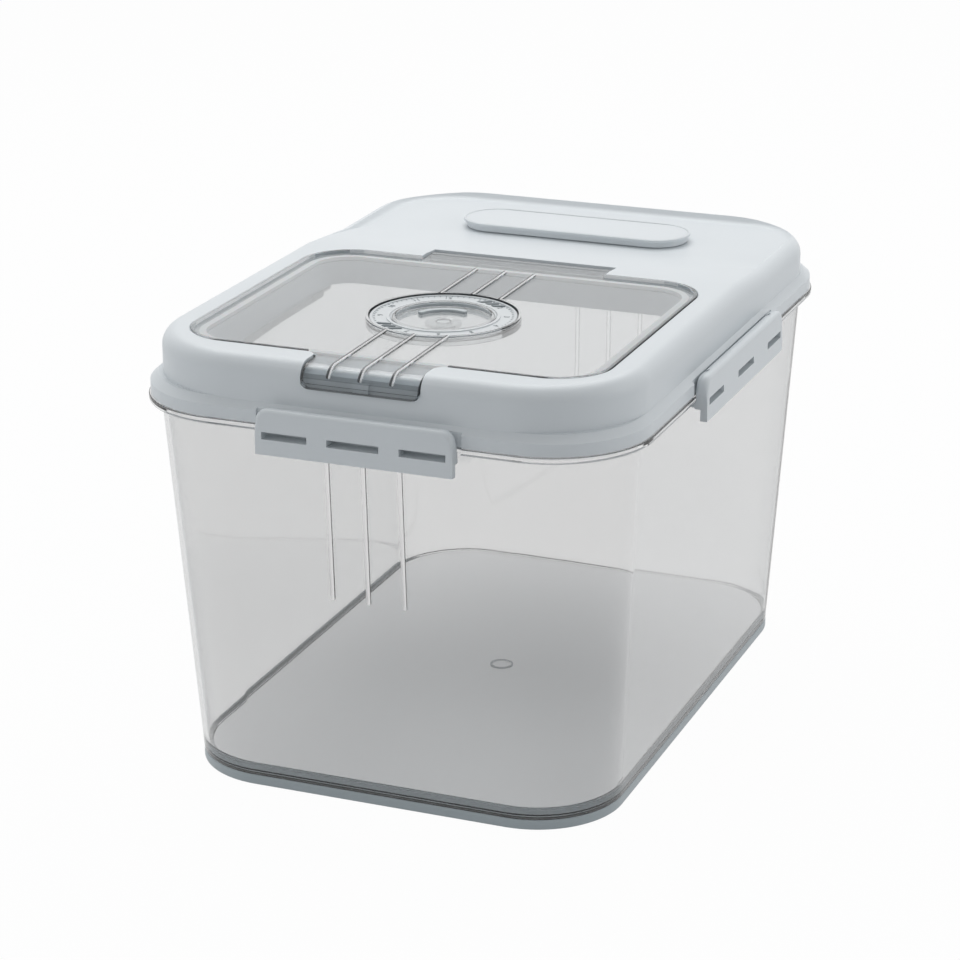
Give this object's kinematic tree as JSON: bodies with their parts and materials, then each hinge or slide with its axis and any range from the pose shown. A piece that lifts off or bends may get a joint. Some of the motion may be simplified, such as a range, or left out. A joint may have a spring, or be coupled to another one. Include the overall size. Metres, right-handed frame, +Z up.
{
  "type": "rice bin with flip lid",
  "caption": "Clear tapered rice bin on a grey base, with a lift-off pale grey lid held by latches, a clear hinged pour flap with a date dial, and a desiccant box.",
  "frame": {"origin": "centre of the base's underside, on the ground", "axes": "+Z up, +Y towards the back, where the desiccant cap is; the flap's front tab is at -Y"},
  "size_m": [0.263, 0.365, 0.2237],
  "materials": {
    "clear": "clear, polished",
    "lid": "fine satin",
    "base": "fine satin",
    "seal": "translucent silicone",
    "steel": "drawn",
    "dial": "satin"
  },
  "bodies": {
    "tub": {"tub": "clear", "base_tray": "base"},
    "lid": {"outer_lid": "lid", "lid_seal": "seal", "flap_hinge_rod": "steel", "desiccant_case": "lid", "latch_pin_front": "steel", "latch_pin_back": "steel", "latch_pin_left": "steel", "latch_pin_right": "steel"},
    "flap": {"flap": "clear", "flap_seal": "seal"},
    "dial_ring": {"dial_ring": "dial"},
    "dial_disc": {"dial_disc": "clear", "dial_retainer": "dial"},
    "desiccant_cap": {"desiccant_cap": "lid"},
    "latch_front": {"latch_front": "lid"},
    "latch_back": {"latch_back": "lid"},
    "latch_left": {"latch_left": "lid"},
    "latch_right": {"latch_right": "lid"}
  },
  "joints": [
    {"name": "lid_lift", "type": "slide", "parent": "tub", "child": "lid", "axis": [0, 0, 1], "range_m": [0, 0.0533]},
    {"name": "flap_hinge", "type": "hinge", "parent": "lid", "child": "flap", "pos_m": [0, 0.0325, 0.2193], "axis": [-1, 0, 0], "range_deg": [0, 100]},
    {"name": "dial_ring_turn", "type": "hinge", "parent": "flap", "child": "dial_ring", "pos_m": [0, -0.0728, 0.221], "axis": [0, 0, 1], "continuous": true},
    {"name": "dial_disc_turn", "type": "hinge", "parent": "flap", "child": "dial_disc", "pos_m": [0, -0.0728, 0.221], "axis": [0, 0, 1], "continuous": true},
    {"name": "desiccant_cap_lift", "type": "slide", "parent": "lid", "child": "desiccant_cap", "axis": [0, 0, 1], "range_m": [0, 0.03]},
    {"name": "latch_front_swing", "type": "hinge", "parent": "lid", "child": "latch_front", "pos_m": [0, -0.1793, 0.1994], "axis": [-1, 0, 0], "range_deg": [0, 128]},
    {"name": "latch_back_swing", "type": "hinge", "parent": "lid", "child": "latch_back", "pos_m": [0, 0.1793, 0.1994], "axis": [1, 0, 0], "range_deg": [0, 128]},
    {"name": "latch_left_swing", "type": "hinge", "parent": "lid", "child": "latch_left", "pos_m": [-0.1283, 0, 0.1994], "axis": [0, 1, 0], "range_deg": [0, 128]},
    {"name": "latch_right_swing", "type": "hinge", "parent": "lid", "child": "latch_right", "pos_m": [0.1283, 0, 0.1994], "axis": [0, -1, 0], "range_deg": [0, 128]}
  ],
  "couplings": [
    {"joint": "latch_front_swing", "follows": "lid_lift", "rad_per_m": 41.888},
    {"joint": "latch_back_swing", "follows": "lid_lift", "rad_per_m": 41.888},
    {"joint": "latch_left_swing", "follows": "lid_lift", "rad_per_m": 41.888},
    {"joint": "latch_right_swing", "follows": "lid_lift", "rad_per_m": 41.888}
  ]
}
